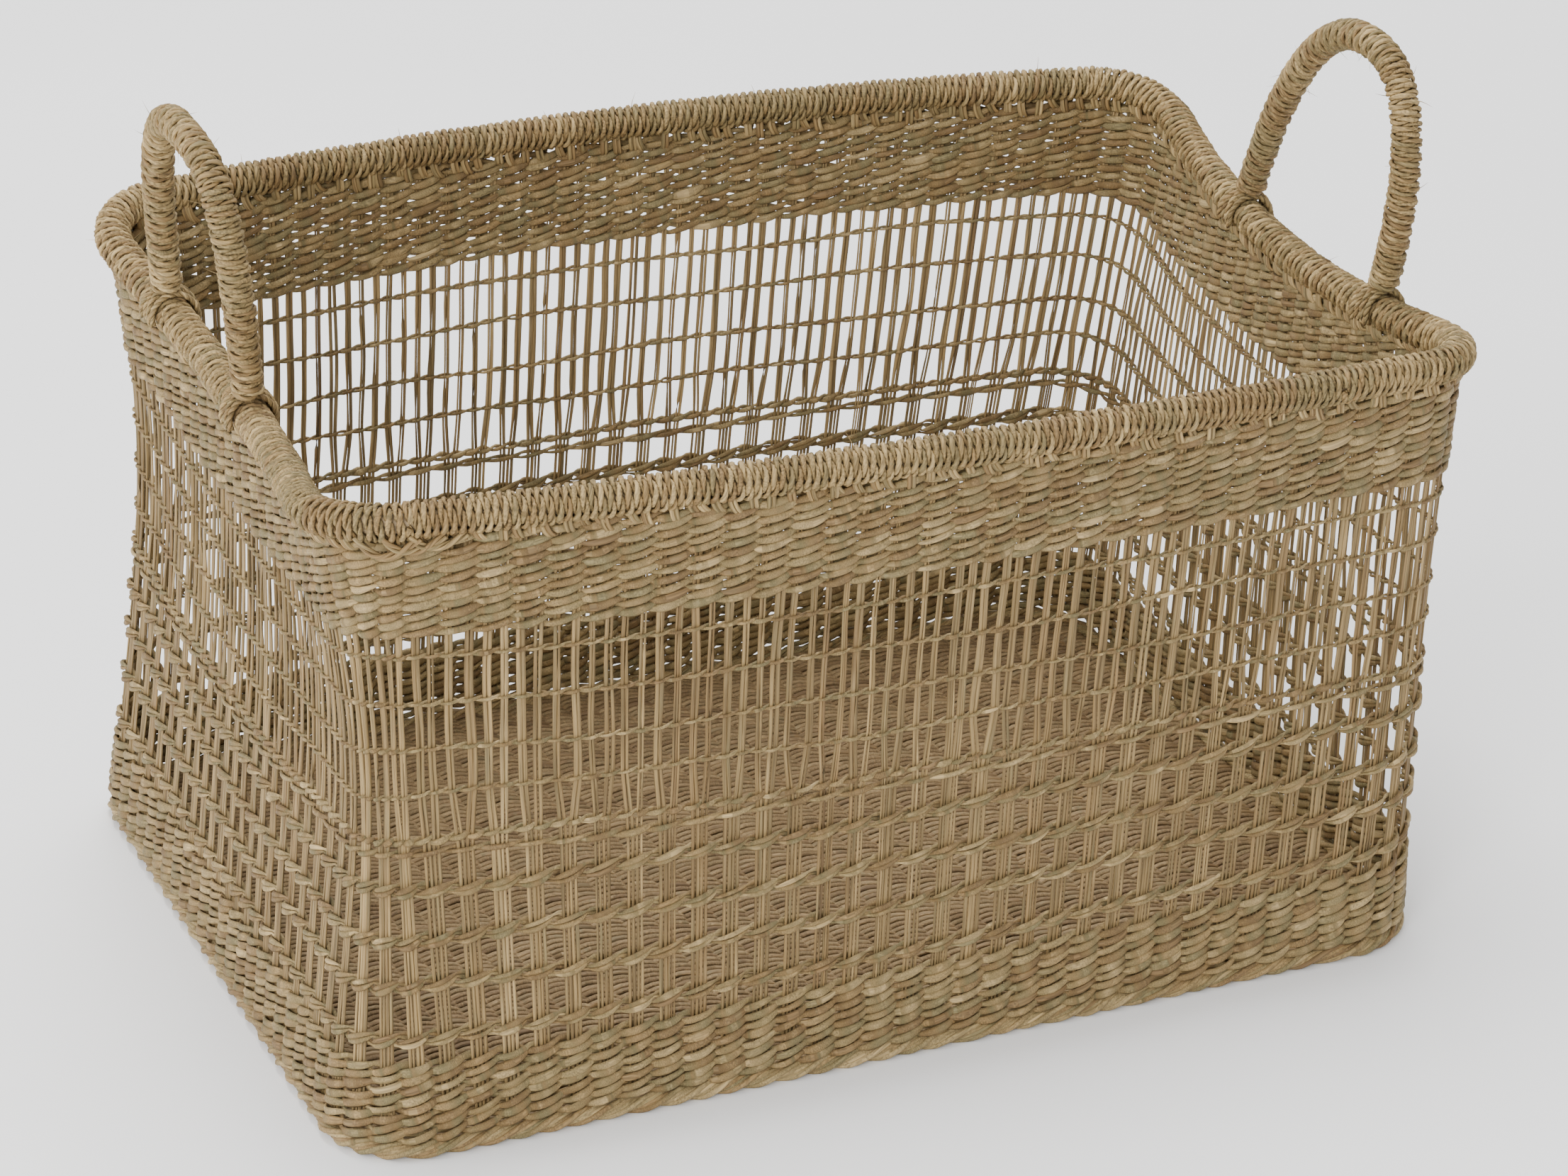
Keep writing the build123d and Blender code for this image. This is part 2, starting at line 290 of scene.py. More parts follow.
def tones(count, run):
    """Shades along a spliced strand: one for each blade, with small changes within it."""
    shade = np.empty(count)
    at = 0
    while at < count:
        length = int(run * rng.uniform(0.5, 1.6)) + 1
        shade[at:at + length] = rng.random()
        at += length
    return np.clip(shade + 0.12 * ripple(count, count * 3 // max(run, 1)), 0, 1)


class Weave:
    """Strands that are gathered into one mesh."""

    def __init__(self):
        self.spots = []
        self.quads = []
        self.tones = []
        self.fibres = []
        self.count = 0

    def add(self, points, across, wide, thick, tone, sides=6, closed=False):
        """A strand along the points: an oval tube, with its half width in the across direction."""
        n = len(points)
        if closed:
            tangent = unit(np.roll(points, -1, 0) - np.roll(points, 1, 0))
        else:
            tangent = unit(np.gradient(points, axis=0))
        across = np.broadcast_to(across, points.shape)
        w = unit(across - (across * tangent).sum(1, keepdims=True) * tangent)
        t = np.cross(tangent, w)
        angle = 2 * np.pi * np.arange(sides) / sides
        wide = np.broadcast_to(wide, n)[:, None]
        thick = np.broadcast_to(thick, n)[:, None]
        a = wide * np.cos(angle)
        b = thick * np.sin(angle)
        ring = points[:, None] + a[..., None] * w[:, None] + b[..., None] * t[:, None]
        steps = np.linalg.norm(np.diff(points, axis=0), axis=1)
        length = np.concatenate(((0,), np.cumsum(steps)))
        seed = np.broadcast_to(np.asarray(tone, float), n) * 7 + rng.random() * 5
        along = np.broadcast_to((length + seed)[:, None], a.shape)
        self.spots.append(ring.reshape(-1, 3))
        self.tones.append(np.repeat(np.broadcast_to(tone, n), sides))
        self.fibres.append(np.stack((along, a, b), -1).reshape(-1, 3))
        i = np.arange(n if closed else n - 1)[:, None] * sides
        j = (i + sides) % (n * sides)
        k = np.arange(sides)
        k2 = (k + 1) % sides
        body = np.stack((i + k, i + k2, j + k2, j + k), -1).reshape(-1, 4)
        faces = [body]
        if not closed:
            c = np.arange(sides // 2 - 1)
            near = np.stack((c, sides - 1 - c, sides - 2 - c, c + 1), -1)
            far = np.stack((c, c + 1, sides - 2 - c, sides - 1 - c), -1) + (n - 1) * sides
            faces += [near, far]
        self.quads.append(np.concatenate(faces) + self.count)
        self.count += n * sides

    def build(self, name, material, body, replaced):
        """One mesh of all the strands, which rides on a body in place of the replaced nodes."""
        spots = np.concatenate(self.spots)
        quads = np.concatenate(self.quads)
        mesh = bpy.data.meshes.new(name)
        mesh.vertices.add(len(spots))
        mesh.vertices.foreach_set("co", spots.astype(np.float32).ravel())
        mesh.loops.add(quads.size)
        mesh.loops.foreach_set("vertex_index", quads.astype(np.int32).ravel())
        mesh.polygons.add(len(quads))
        mesh.polygons.foreach_set("loop_start", np.arange(0, quads.size, 4, dtype=np.int32))
        mesh.update(calc_edges=True)
        shade = mesh.attributes.new("tone", "FLOAT", "POINT")
        shade.data.foreach_set("value", np.concatenate(self.tones).astype(np.float32))
        fibre = mesh.attributes.new("fibre", "FLOAT_VECTOR", "POINT")
        fibre.data.foreach_set("vector", np.concatenate(self.fibres).astype(np.float32).ravel())
        mesh.materials.append(material)
        piece = bpy.data.objects.new(name, mesh)
        bpy.context.scene.collection.objects.link(piece)
        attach(piece, body)
        if replaced:
            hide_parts(*replaced)
        return piece


# ---------------------------------------------------------------- materials
def grass(name, shades, dark=0.62, gloss=0.5):
    """Dried grass: streaks along each blade, with a shade of its own and blotches."""
    material = bpy.data.materials.new(name)
    material.use_nodes = True
    tree = material.node_tree
    new = tree.nodes.new
    link = tree.links.new
    shader = tree.nodes["Principled BSDF"]
    tone = new("ShaderNodeAttribute")
    tone.attribute_name = "tone"
    fibre = new("ShaderNodeAttribute")
    fibre.attribute_name = "fibre"
    ramp = new("ShaderNodeValToRGB")
    stops = ramp.color_ramp.elements
    while len(stops) < len(shades):
        stops.new(0.5)
    for number, shade in enumerate(shades):
        stops[number].position = number / (len(shades) - 1)
        stops[number].color = (*shade, 1)
    link(tone.outputs["Fac"], ramp.inputs["Fac"])

    def noise(stretch, detail):
        scaled = new("ShaderNodeVectorMath")
        scaled.operation = "MULTIPLY"
        scaled.inputs[1].default_value = stretch
        link(fibre.outputs["Vector"], scaled.inputs[0])
        cloud = new("ShaderNodeTexNoise")
        cloud.inputs["Scale"].default_value = 1.0
        cloud.inputs["Detail"].default_value = detail
        link(scaled.outputs["Vector"], cloud.inputs["Vector"])
        return cloud.outputs["Fac"]

    def span(value, low, high, start, end):
        ranged = new("ShaderNodeMapRange")
        ranged.inputs["From Min"].default_value = low
        ranged.inputs["From Max"].default_value = high
        ranged.inputs["To Min"].default_value = start
        ranged.inputs["To Max"].default_value = end
        link(value, ranged.inputs["Value"])
        return ranged.outputs["Result"]

    def mixed(kind, factor, colour, other):
        mix = new("ShaderNodeMix")
        mix.data_type = "RGBA"
        mix.blend_type = kind
        if isinstance(factor, float):
            mix.inputs["Factor"].default_value = factor
        else:
            link(factor, mix.inputs["Factor"])
        link(colour, mix.inputs["A"])
        if isinstance(other, tuple):
            mix.inputs["B"].default_value = other
        else:
            link(other, mix.inputs["B"])
        return mix.outputs["Result"]

    streak = noise((30, 1250, 1250), 3)
    vein = noise((110, 4200, 4200), 1)
    blotch = noise((32, 60, 60), 2)
    colour = ramp.outputs["Color"]
    colour = mixed("MIX", span(blotch, 0.52, 0.75, 0, 0.5), colour, (0.185, 0.17, 0.085, 1))
    colour = mixed("MIX", span(blotch, 0.44, 0.25, 0, 0.5), colour, (0.46, 0.34, 0.165, 1))
    lines = new("ShaderNodeCombineColor")
    factor = span(streak, 0.32, 0.66, dark, 1.15)
    for channel in ("Red", "Green", "Blue"):
        link(factor, lines.inputs[channel])
    colour = mixed("MULTIPLY", 1.0, colour, lines.outputs["Color"])
    link(colour, shader.inputs["Base Color"])
    link(span(streak, 0.2, 0.8, gloss + 0.18, gloss), shader.inputs["Roughness"])
    shader.inputs["Specular IOR Level"].default_value = 0.32
    both = new("ShaderNodeMath")
    both.operation = "ADD"
    link(streak, both.inputs[0])
    link(vein, both.inputs[1])
    bump = new("ShaderNodeBump")
    bump.inputs["Strength"].default_value = 0.75
    bump.inputs["Distance"].default_value = 0.00035
    link(both.outputs["Value"], bump.inputs["Height"])
    link(bump.outputs["Normal"], shader.inputs["Normal"])
    return material


def plain(name, dark, light, scale, rough, bump_height, metal=0.0):
    """A mottled solid material in the object's own coordinates."""
    material = bpy.data.materials.new(name)
    material.use_nodes = True
    tree = material.node_tree
    new = tree.nodes.new
    link = tree.links.new
    shader = tree.nodes["Principled BSDF"]
    where = new("ShaderNodeTexCoord")
    cloud = new("ShaderNodeTexNoise")
    cloud.inputs["Scale"].default_value = scale
    cloud.inputs["Detail"].default_value = 5
    link(where.outputs["Object"], cloud.inputs["Vector"])
    ramp = new("ShaderNodeValToRGB")
    ramp.color_ramp.elements[0].position = 0.3
    ramp.color_ramp.elements[0].color = dark
    ramp.color_ramp.elements[1].position = 0.7
    ramp.color_ramp.elements[1].color = light
    link(cloud.outputs["Fac"], ramp.inputs["Fac"])
    link(ramp.outputs["Color"], shader.inputs["Base Color"])
    shader.inputs["Roughness"].default_value = rough
    shader.inputs["Metallic"].default_value = metal
    bump = new("ShaderNodeBump")
    bump.inputs["Strength"].default_value = 0.3
    bump.inputs["Distance"].default_value = bump_height
    link(cloud.outputs["Fac"], bump.inputs["Height"])
    link(bump.outputs["Normal"], shader.inputs["Normal"])
    return material


STRAW = (
    (0.188, 0.115, 0.046), (0.273, 0.175, 0.069), (0.211, 0.168, 0.074),
    (0.324, 0.215, 0.089), (0.282, 0.204, 0.086), (0.432, 0.310, 0.143),
)
STAKE = (
    (0.164, 0.099, 0.039), (0.249, 0.158, 0.062), (0.211, 0.142, 0.057),
    (0.305, 0.204, 0.084), (0.395, 0.274, 0.123),
)
CORD = (
    (0.221, 0.137, 0.054), (0.296, 0.190, 0.074), (0.230, 0.170, 0.071),
    (0.348, 0.235, 0.097), (0.451, 0.319, 0.143),
)
FLOOR_STRAW = (
    (0.155, 0.093, 0.039), (0.221, 0.140, 0.061), (0.273, 0.181, 0.082), (0.193, 0.129, 0.057),
)
weft_grass = grass("weft_grass", STRAW, dark=0.54)
stake_grass = grass("stake_grass", STAKE, dark=0.5)
wrap_cord = grass("wrap_cord", CORD, dark=0.45, gloss=0.55)
floor_grass = grass("floor_grass", FLOOR_STRAW)
rattan = plain("rattan_core", (0.30, 0.21, 0.11, 1), (0.42, 0.31, 0.17, 1), 60, 0.6, 0.0004)
wire = plain("wire", (0.13, 0.095, 0.055, 1), (0.24, 0.18, 0.11, 1), 180, 0.5, 0.0001, 0.35)


# ---------------------------------------------------------------- twined rows
def twined_row(
    weave, share, rise, reach, wide, thick, rate=1, steps=6, blades=1, wave=0.0, slim=0.7,
    out=0.0, run=2.2,
):
    """Two strands twisted round each other, one outside and one inside at each crossing.

    They make rate half turns at each pair of stakes, where they are slim times as wide as between
    them. The row stands out from the wall and waves up and down, and run is a blade's length in
    pairs of stakes.
    """
    count = STAKE_PAIRS * steps
    pair = np.arange(count) / steps
    drift = ripple(count, 60) * 0.06
    bend = ripple(count, 16) * wave
    for strand in (0, 1):
        phase = np.pi * (pair * rate + strand)
        swing = np.sin(phase)
        slope = -2 / np.pi * np.arcsin(np.cos(phase))
        lift = (0.75 * slope - 0.25 * np.cos(phase)) * (1 + 0.2 * ripple(count, 90))
        body = slim + (1 - slim) * np.abs(swing) ** 0.7
        face = np.sign(swing) * np.abs(swing) ** 0.8
        for blade in range(blades):
            apart = (blade - (blades - 1) / 2) * 2 * wide * 0.88 * body
            size = 1 + 0.2 * ripple(count, 70)
            height = rise * lift + bend + apart + 0.0002 * ripple(count, 80)
            spots = wall_point(
                pair_place(pair + drift), share + height / WALL_HEIGHT,
                out + reach * face * (1 + 0.12 * ripple(count, 80)),
            )
            lean = UP + 0.25 * ripple(count, 60)[:, None] * outward(pair_place(pair))
            weave.add(
                spots, lean, wide * size * body, thick * body,
                tones(count, int(steps * run)), closed=True,
            )


def band(name, span, rows, strand, swell, replaced):
    """Rows packed against each other, in two pieces so that each stays light."""
    for half, label in enumerate(("lower", "upper")):
        weave = Weave()
        first = rows // 2 * half
        last = rows // 2 if half == 0 else rows
        for row in range(first, last):
            share = span[0] + (span[1] - span[0]) * (row + 0.5) / rows
            twined_row(
                weave, share, **strand, wave=0.0004, slim=0.72, out=swell * (1 - row / rows)
            )
        weave.build(f"{name}_{label}", weft_grass, "basket", (replaced[half],))


for name, share in FINE_ROWS.items():
    fine = Weave()
    twined_row(fine, share, **FINE_STRAND, rate=2, steps=10, wave=0.0009, run=1.2, slim=0.8)
    fine.build(f"{name}_twist", weft_grass, "basket", (name,))

double = Weave()
for number, share in enumerate(DOUBLE_ROW):
    twined_row(
        double, share + 0.001 * number, **DOUBLE_STRAND, rate=1 + number, steps=8, wave=0.0006
    )
double.build("row_e_twist", weft_grass, "basket", ("row_e",))

for name, share in THICK_ROWS.items():
    thick = Weave()
    twined_row(thick, share, **THICK_STRAND, blades=2, wave=0.0009, slim=0.4, run=1.6)
    thick.build(f"{name}_twist", weft_grass, "basket", (name,))

band(
    "top_band_rows", TOP_BAND, TOP_ROWS, TOP_STRAND, 0.0,
    ("top_band_outer", "top_band_inner"),
)
band(
    "foot_band_rows", FOOT_BAND, FOOT_ROWS, FOOT_STRAND, FOOT_SWELL,
    ("foot_band_outer", "foot_band_inner"),
)


# ---------------------------------------------------------------- stakes
def stake(weave, pair, side):
    """A flat blade, or two or three narrow ones, from the border to under the rim."""
    shares = np.linspace(*STAKE_SPAN, STAKE_STEPS)
    open_up = np.clip((shares - DOUBLE_ROW[0]) / (FINE_ROWS["row_d"] - DOUBLE_ROW[0]), 0, 1)
    spread = PAIR_SPREAD_LOW + (PAIR_SPREAD_HIGH - PAIR_SPREAD_LOW) * open_up
    lean = rng.normal(0, 0.035) * open_up * np.sin(np.pi * shares)
    sway = ripple(len(shares), 5, closed=False) * 0.02 * (0.4 + open_up)
    middle = pair + 0.5 + side * spread + lean + sway
    full = rng.uniform(0.8, 1.2) * STAKE_WIDE
    number = 3 if rng.random() < SPLIT_IN_THREE else 2
    parted = rng.random() < COMES_APART
    tone = 0.2 + 0.55 * rng.random()
    pitch = BASE_TABLE[1][-1] / STAKE_PAIRS
    for blade in range(number):
        wide = full / number
        apart = (blade - (number - 1) / 2) * 2 * wide
        split = 1.02 - 0.20 * open_up
        if parted:
            split = split + open_up * (0.35 + 0.3 * ripple(len(shares), 3, closed=False))
        spots = wall_point(
            pair_place(middle + apart * split / pitch), shares,
            0.0001 * ripple(len(shares), 6, closed=False),
        )
        row = unit(wall_point(pair_place(middle + 0.05), shares, 0.0) - spots)
        twist = outward(pair_place(middle)) * rng.normal(0, 0.16)
        size = 0.84 + 0.16 * open_up + 0.10 * ripple(len(shares), 4, closed=False)
        weave.add(
            spots, row + twist, wide * size, STAKE_THICK,
            np.clip(tone + rng.normal(0, 0.12), 0, 1),
        )


GROUPS = (
    ("front_stakes", 0, 1), ("front_right_corner_stakes", 1, 2), ("right_stakes", 2, 3),
    ("back_right_corner_stakes", 3, 4), ("back_stakes", 4, 5), ("back_left_corner_stakes", 5, 6),
    ("left_stakes", 6, 7), ("front_left_corner_stakes", 7, 8),
)
pair_places = pair_place(np.arange(STAKE_PAIRS) + 0.5)
for name, start, end in GROUPS:
    blades = Weave()
    for pair in np.nonzero((pair_places >= start) & (pair_places < end))[0]:
        for side in (-1, 1):
            stake(blades, pair, side)
    blades.build(f"{name}_blades", stake_grass, "basket", (name,))


# ---------------------------------------------------------------- cord wound round a bar
def wound_cord(weave, centre, ends, side, radius, pitch, ply, lay):
    """A two-ply cord wound round a bar, from the one share of its line to the other."""
    fine = np.linspace(*ends, LINE_STEPS)
    line = centre(fine)
    lengths = np.concatenate(((0,), np.cumsum(np.linalg.norm(np.diff(line, axis=0), axis=1))))
    turns = round(lengths[-1] / pitch)
    count = turns * CORD_STEPS
    winding = np.arange(count) / CORD_STEPS
    slack = CORD_SLACK * ripple(count, max(8, turns // 4), closed=False)
    distance = np.clip((winding + slack) / turns, 0, 1) * lengths[-1]
    share = np.interp(distance, lengths, fine)
    spots = centre(share)
    ahead = unit(centre(share + 1e-4) - centre(share - 1e-4))
    first = side(share)
    first = unit(first - (first * ahead).sum(1, keepdims=True) * ahead)
    second = np.cross(ahead, first)
    angle = 2 * np.pi * winding
    radial = np.cos(angle)[:, None] * first + np.sin(angle)[:, None] * second
    around = unit(-np.sin(angle)[:, None] * first + np.cos(angle)[:, None] * second)
    wraps = spots + radial * (radius * (1 + 0.02 * ripple(count, turns, closed=False)))[:, None]
    twist = 2 * np.pi * winding * (2 * np.pi * radius / lay)
    twist = twist + 0.5 * ripple(count, turns, closed=False)
    cross = np.cross(around, radial)
    for strand in (0, np.pi):
        off = np.cos(twist + strand)[:, None] * radial + np.sin(twist + strand)[:, None] * cross
        size = ply * (1 + 0.09 * ripple(count, turns, closed=False))
        shade = tones(count, CORD_STEPS * 5)
        weave.add(wraps + off * ply * 0.84, off, size * 0.8, size * 1.02, shade)


def rim_line(share):
    """The rim's middle line at a share of the way round."""
    return rim_point(rim_place(share))


def rim_side(share):
    """The way out of the wall at a share of the way round the rim."""
    return outward(rim_place(share))


QUARTERS = ("front", "right", "back", "left")
for number, label in enumerate(QUARTERS):
    wound = Weave()
    wound_cord(wound, rim_line, (number / 4, (number + 1) / 4 + 0.0006), rim_side, **RIM_CORD)
    wound.build(
        f"rim_wrap_{label}_cord", wrap_cord, "basket",
        ("rim_wrap",) if number == 0 else (),
    )


# ---------------------------------------------------------------- rim lacing
lacing = Weave()
for number in range(2 * STAKE_PAIRS):
    pair = number / 2 + rng.normal(0, 0.1)
    depth = LACING_LOW - rng.uniform(0.0, 0.016)
    curl = np.linspace(0, 1, LACING_STEPS)
    swing = np.cos(np.pi * curl)
    share = LACING_TOP - (LACING_TOP - depth) * np.sin(np.pi * curl) ** 0.6
    lean = rng.uniform(0.1, 0.8) * (curl - 0.5)
    offset = LACING_REACH * np.sign(swing) * np.abs(swing) ** 0.5
    spots = wall_point(pair_place(pair + lean), share, offset)
    around = unit(wall_point(pair_place(pair + lean + 0.1), share, offset) - spots)
    for ply in (-1, 1):
        lacing.add(spots + around * LACING_PLY * ply, around, 0.00085, LACING_PLY, rng.random())
# Loose turns that cross over the band's top at the front left corner: the pairs of stakes that
# they start and end at, and the share of the wall that they hang down to
for start, end, low in ((-1.4, 0.3, 0.955), (-0.7, 1.0, 0.960), (0.0, 1.6, 0.963)):
    along = np.linspace(0, 1, LOOSE_TURN_STEPS)
    place = pair_place(start + (end - start) * along)
    share = LACING_TOP - (LACING_TOP - low) * np.sin(np.pi * along ** 0.8) - 0.006 * along
    spots = wall_point(place, share, LOOSE_TURN_REACH)
    face = outward(place)
    for ply in (0, np.pi):
        twist = 9 * along + ply
        up = np.cross(face, unit(np.gradient(spots, axis=0)))
        off = np.cos(twist)[:, None] * face + np.sin(twist)[:, None] * up
        lacing.add(spots + off * 0.0007, off, 0.0007, 0.0009, rng.random())
lacing.build("rim_lacing_cord", wrap_cord, "basket", ("rim_lacing",))


# ---------------------------------------------------------------- border
def braid(weave):
    """A closed twisted rope along the foot of the wall, each ply of a few flat strands."""
    share = np.arange(BRAID_STEPS) / BRAID_STEPS
    place = pair_place(share * STAKE_PAIRS)
    spots = base_point(place)
    ahead = unit(np.roll(spots, -1, 0) - np.roll(spots, 1, 0))
    first = outward(place)
    first = unit(first - (first * ahead).sum(1, keepdims=True) * ahead)
    second = np.cross(ahead, first)
    wobble = ripple(BRAID_STEPS, abs(BRAID_TURNS)) * 0.45
    for number in range(BRAID_PLIES):
        angle = 2 * np.pi * (BRAID_TURNS * share + number / BRAID_PLIES) + wobble
        radial = np.cos(angle)[:, None] * first + np.sin(angle)[:, None] * second
        core = spots + radial * BRAID_REACH
        for strand in range(BRAID_STRANDS):
            inner = angle + 2 * np.pi * strand / BRAID_STRANDS
            off = np.cos(inner)[:, None] * first + np.sin(inner)[:, None] * second
            weave.add(
                core + off * BRAID_PLY * 0.42, radial,
                BRAID_PLY * 0.54 * (1 + 0.12 * ripple(BRAID_STEPS, 60)), BRAID_PLY * 0.5,
                tones(BRAID_STEPS, 40), closed=True,
            )


border = Weave()
braid(border)
border.build("base_border_braid", weft_grass, "basket", ("base_border",))


# ---------------------------------------------------------------- floor
half_x = BASE_LENGTH / 2 - FLOOR_INSET
half_y = BASE_WIDTH / 2 - FLOOR_INSET
corner = BASE_RADIUS - FLOOR_INSET


def room(across, half_across, half_along):
    """Half the floor's length at a distance from its middle line."""
    past = np.clip(abs(across) - (half_across - corner), 0, corner)
    return half_along - corner + math.sqrt(max(corner ** 2 - past ** 2, 0))


warps = Weave()
warp_count = int(2 * half_x / FLOOR_PITCH)
warp_start = -FLOOR_PITCH * (warp_count - 1) / 2
for number in range(warp_count):
    x = warp_start + number * FLOOR_PITCH
    reach = room(x, half_x, half_y)
    ys = np.linspace(-reach, reach, WARP_STEPS)
    for side in (-1, 1):
        spots = np.column_stack((
            BASE_CENTRE[0] + x + side * WARP_APART
            + 0.0002 * ripple(WARP_STEPS, 4, closed=False),
            BASE_CENTRE[1] + ys, np.full(WARP_STEPS, FLOOR_MIDDLE),
        ))
        warps.add(spots, np.array((1.0, 0, 0)), WARP_WIDE, WARP_THICK, rng.random())
warps.build("floor_warps_blades", stake_grass, "basket", ("floor_warps",))

row_count = int(2 * half_y / FLOOR_ROW_PITCH)
row_start = -FLOOR_ROW_PITCH * (row_count - 1) / 2
for label, rows, replaced in (
    ("front", range(0, row_count // 2), ("floor_lower_wefts",)),
    ("back", range(row_count // 2, row_count), ("floor_upper_wefts",)),
):
    mat = Weave()
    for row in rows:
        y = row_start + row * FLOOR_ROW_PITCH
        reach = room(y, half_y, half_x)
        count = int(2 * reach / FLOOR_PITCH * 4)
        xs = np.linspace(-reach, reach, count)
        phase0 = np.pi * ((xs - warp_start) / FLOOR_PITCH + 0.5)
        for strand in (0, 1):
            phase = phase0 + np.pi * (strand + row % 2)
            swing = np.sin(phase)
            spots = np.column_stack((
                BASE_CENTRE[0] + xs,
                BASE_CENTRE[1] + y + 0.0005 * np.cos(phase) + 0.0003 * ripple(count, 8),
                FLOOR_MIDDLE + FLOOR_REACH * np.sign(swing) * np.abs(swing) ** 0.8,
            ))
            mat.add(
                spots, np.array((0, 1.0, 0)), WEFT_WIDE * (1 + 0.12 * ripple(count, 20)),
                WEFT_THICK, tones(count, 30),
            )
    mat.build(f"floor_{label}_rows", floor_grass, "basket", replaced)


# ---------------------------------------------------------------- handles
def cover(name, material):
    """A CAD node's own mesh, with a material of this scene."""
    materials = nodes[name].data.materials
    materials.clear()
    materials.append(material)


def arch(feet, rise, power, share):
    """The handle's line: share 0 and 1 are on the hinge line at its feet."""
    turn = np.pi * share
    middle = (feet[0] + feet[1]) / 2
    along = np.sign(np.cos(turn)) * np.abs(np.cos(turn)) ** power
    up = np.abs(np.sin(turn)) ** power
    return middle - (feet[1] - feet[0]) / 2 * along[:, None] + rise * up[:, None]


def foot_place(side, along):
    """Share of the way round the rim at a handle's foot."""
    places, lengths = RIM_TABLE
    spot = rim_from_outline(side * RIM_LENGTH / 2, along * RIM_WIDTH / 2)
    away = np.linalg.norm(rim_point(places) - spot, axis=1)
    return lengths[np.argmin(away)] / lengths[-1]


def lashing(weave, at, slant):
    """Turns of cord over the rim bar, open below, some of them crossed."""
    length = RIM_TABLE[1][-1]
    sweep = np.linspace(-LASHING_SWEEP, LASHING_SWEEP, LASHING_STEPS)
    turns = [(spot, spot, LASHING_RADIUS) for spot in LASHING_TURNS]
    turns += [(-CROSSED_TURN, CROSSED_TURN, CROSSED_RADIUS)]
    turns += [(CROSSED_TURN, -CROSSED_TURN, CROSSED_RADIUS)]
    for number, (start, end, full) in enumerate(turns):
        radius = full - LASHING_TAPER * sweep[:, None] ** 2
        place = at + (start + (end - start) * np.linspace(0, 1, LASHING_STEPS)) / length
        place = place + slant * sweep * 0.0004 / length
        middle = rim_point(rim_place(place))
        side = outward(rim_place(place))
        radial = np.cos(sweep)[:, None] * UP + np.sin(sweep)[:, None] * side
        ahead = unit(np.cross(radial, np.cross(side, UP)))
        line = middle + radial * radius
        twist = sweep * 9 + number
        cross = np.cross(ahead, radial)
        for strand in (0, np.pi):
            off = np.cos(twist + strand)[:, None] * radial
            off = off + np.sin(twist + strand)[:, None] * cross
            weave.add(line + off * 0.0006, off, 0.00062, 0.00085, rng.random())


def handle_line(side, along, lean, shift, power):
    """Both feet of a handle, the vector from between them to its top, and its line."""
    feet = [rim_from_outline(side * RIM_LENGTH / 2, a * RIM_WIDTH / 2) for a in along]
    rise = np.array((lean, shift, HANDLE_HEIGHT))
    return feet, rise, lambda share: arch(feet, rise, power, np.clip(share, 0, 1))


for name, shape in HANDLES.items():
    side, along = shape[:2]
    feet, rise, handle = handle_line(*shape)
    line_share = np.linspace(0, 1, 2001)
    line = handle(line_share)
    hinge = unit(feet[1] - feet[0])
    lever = line - feet[0]
    lever = lever - (lever @ hinge)[:, None] * hinge
    clear = np.nonzero(np.linalg.norm(lever, axis=1) > HANDLE_CLEARANCE)[0]
    ends = (line_share[clear[0]], line_share[clear[-1]])
    plane = unit(np.cross(feet[1] - feet[0], rise))
    wound = Weave()
    wound_cord(
        wound, handle, ends, lambda s: np.broadcast_to(plane, (len(s), 3)), **HANDLE_CORD
    )
    wound.build(f"{name}_wrap_cord", wrap_cord, name, (f"{name}_wrap",))
    for spot, label in zip(along, ("front", "back")):
        tied = Weave()
        lashing(tied, foot_place(side, spot), 1 if label == "front" else -1)
        tied.build(
            f"{name}_{label}_lashing_cord", wrap_cord, name, (f"{name}_{label}_lashing",),
        )
    cover(f"{name}_core", wire)


def fibres(name, body, count, line, side):
    """Loose ends that stand out of a wound cord."""
    hairs = Weave()
    for _ in range(count):
        share = np.array((rng.uniform(0.03, 0.97),))
        spot = line(share)[0]
        ahead = unit(line(share + 1e-3) - line(share - 1e-3))[0]
        first = unit(np.cross(ahead, side(share)[0]))
        turn = rng.uniform(0, 2 * np.pi)
        out = np.cos(turn) * first + np.sin(turn) * np.cross(ahead, first)
        length = rng.uniform(0.003, 0.007)
        bend = unit(out + ahead * rng.normal(0, 1) + UP * rng.normal(0, 0.4))
        t = np.linspace(0, 1, 7)[:, None]
        points = spot + out * (FIBRE_START + length * 0.45 * t) + bend * length * 0.7 * t ** 2
        taper = 1.2 - t[:, 0]
        hairs.add(
            points, ahead, FIBRE_WIDE * taper, FIBRE_THICK * taper, rng.random(), sides=4
        )
    hairs.build(name, wrap_cord, body, ())


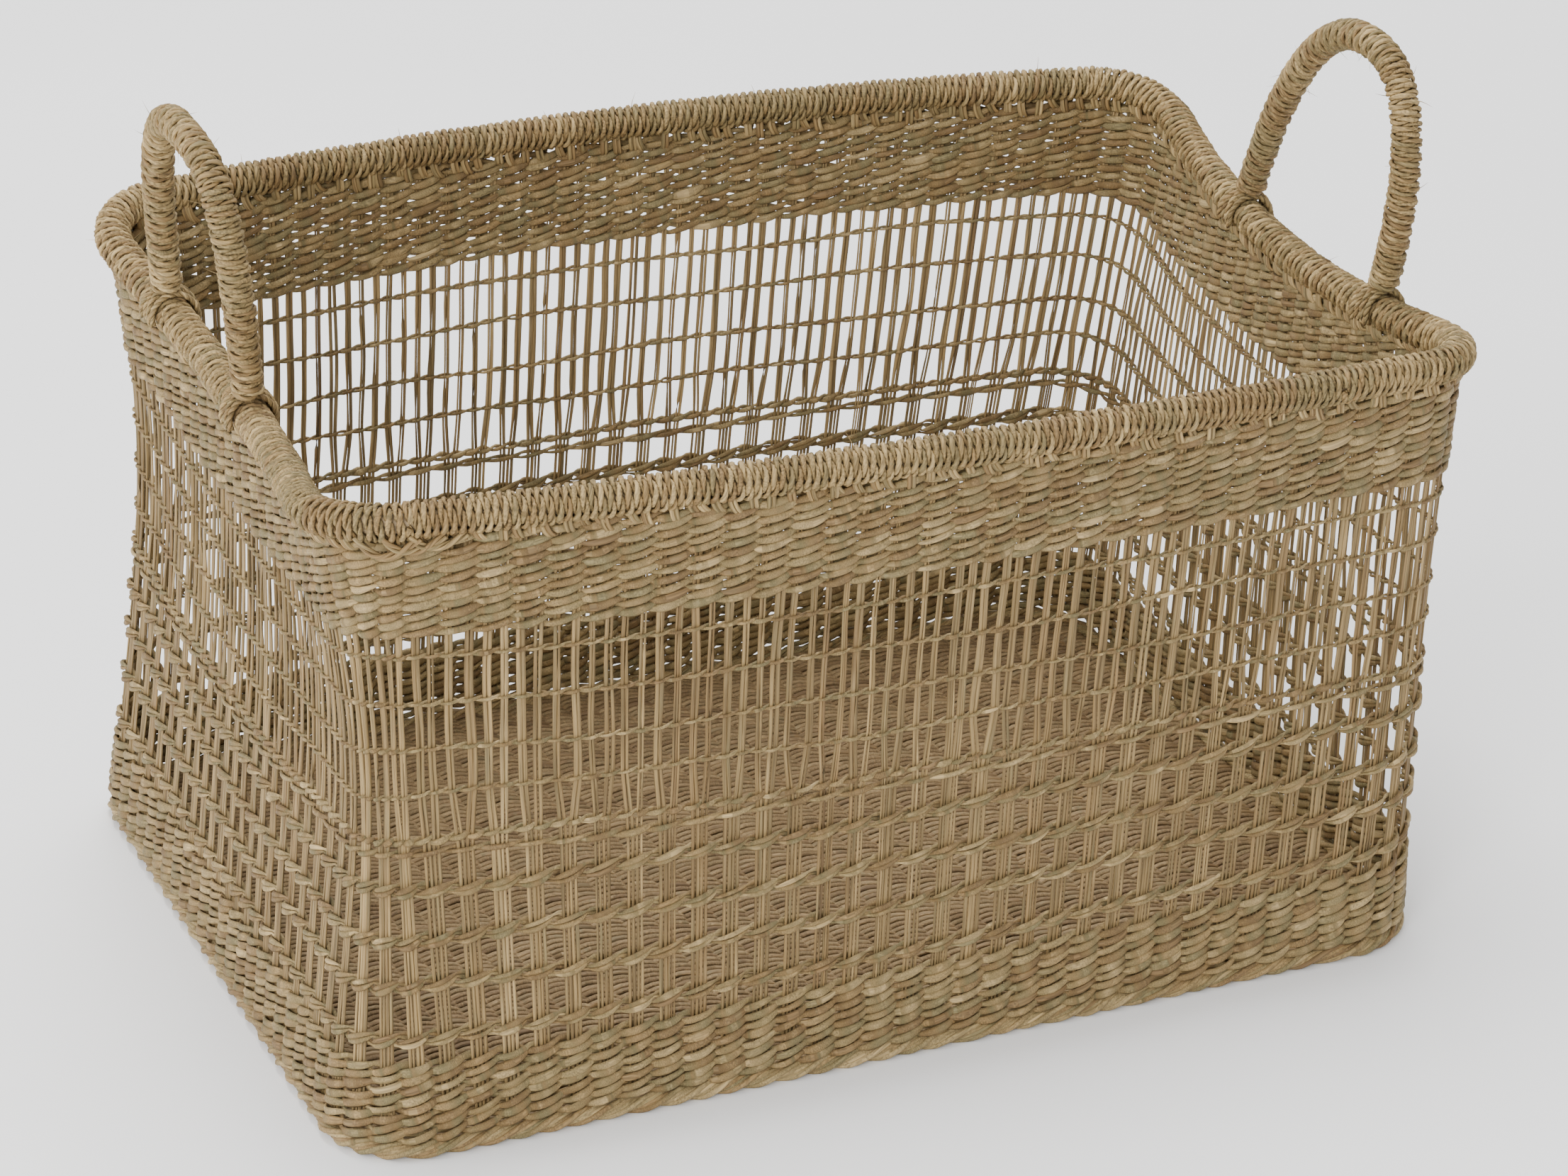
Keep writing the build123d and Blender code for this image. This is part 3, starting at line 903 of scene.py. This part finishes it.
fibres("rim_loose_fibres", "basket", RIM_FIBRES, rim_line, rim_side)
for name, shape in HANDLES.items():
    feet, rise, handle = handle_line(*shape)
    fibres(
        f"{name}_loose_fibres", name, HANDLE_FIBRES, lambda s: handle(0.1 + 0.8 * s),
        lambda s: np.broadcast_to(unit(feet[1] - feet[0]) * 0.3 + UP * 0.1, (len(s), 3)),
    )

cover("rim_core", rattan)


# ---------------------------------------------------------------- room, light and camera
bpy.ops.mesh.primitive_plane_add(size=12)
ground = bpy.context.object
ground.name = "ground"
ground.data.materials.append(
    plain("ground_white", (0.86, 0.86, 0.86, 1), (0.90, 0.90, 0.90, 1), 2, 0.9, 0.0001)
)

world = bpy.context.scene.world or bpy.data.worlds.new("world")
bpy.context.scene.world = world
world.use_nodes = True
backdrop = world.node_tree.nodes["Background"]
backdrop.inputs["Color"].default_value = (1, 1, 1, 1)
backdrop.inputs["Strength"].default_value = WORLD_STRENGTH


def softbox(name, spot, size, power_w):
    """A round lamp that points at the middle of the basket."""
    light = bpy.data.lights.new(name, "AREA")
    light.shape = "DISK"
    light.size = size
    light.energy = power_w
    lamp = bpy.data.objects.new(name, light)
    lamp.location = spot
    aim = LIGHT_TARGET - Vector(spot)
    lamp.rotation_mode = "QUATERNION"
    lamp.rotation_quaternion = aim.to_track_quat("-Z", "Y")
    bpy.context.scene.collection.objects.link(lamp)


softbox("key_light", (-1.7, -1.9, 1.1), size=1.2, power_w=56)
softbox("side_light", (-2.4, 0.3, 0.9), size=1.2, power_w=40)
softbox("top_light", (0.2, 0.9, 2.6), size=1.8, power_w=85)

azimuth = math.radians(CAMERA_AZIMUTH)
elevation = math.radians(CAMERA_ELEVATION)
back = Vector((
    math.sin(azimuth) * math.cos(elevation),
    -math.cos(azimuth) * math.cos(elevation),
    math.sin(elevation),
))
lens = bpy.data.cameras.new("camera")
lens.sensor_width = CAMERA_SENSOR
lens.lens = CAMERA_LENS
camera = bpy.data.objects.new("camera", lens)
camera.location = CAMERA_TARGET + back * CAMERA_DISTANCE
camera.rotation_mode = "QUATERNION"
camera.rotation_quaternion = (-back).to_track_quat("-Z", "Y")
bpy.context.scene.collection.objects.link(camera)
bpy.context.scene.camera = camera
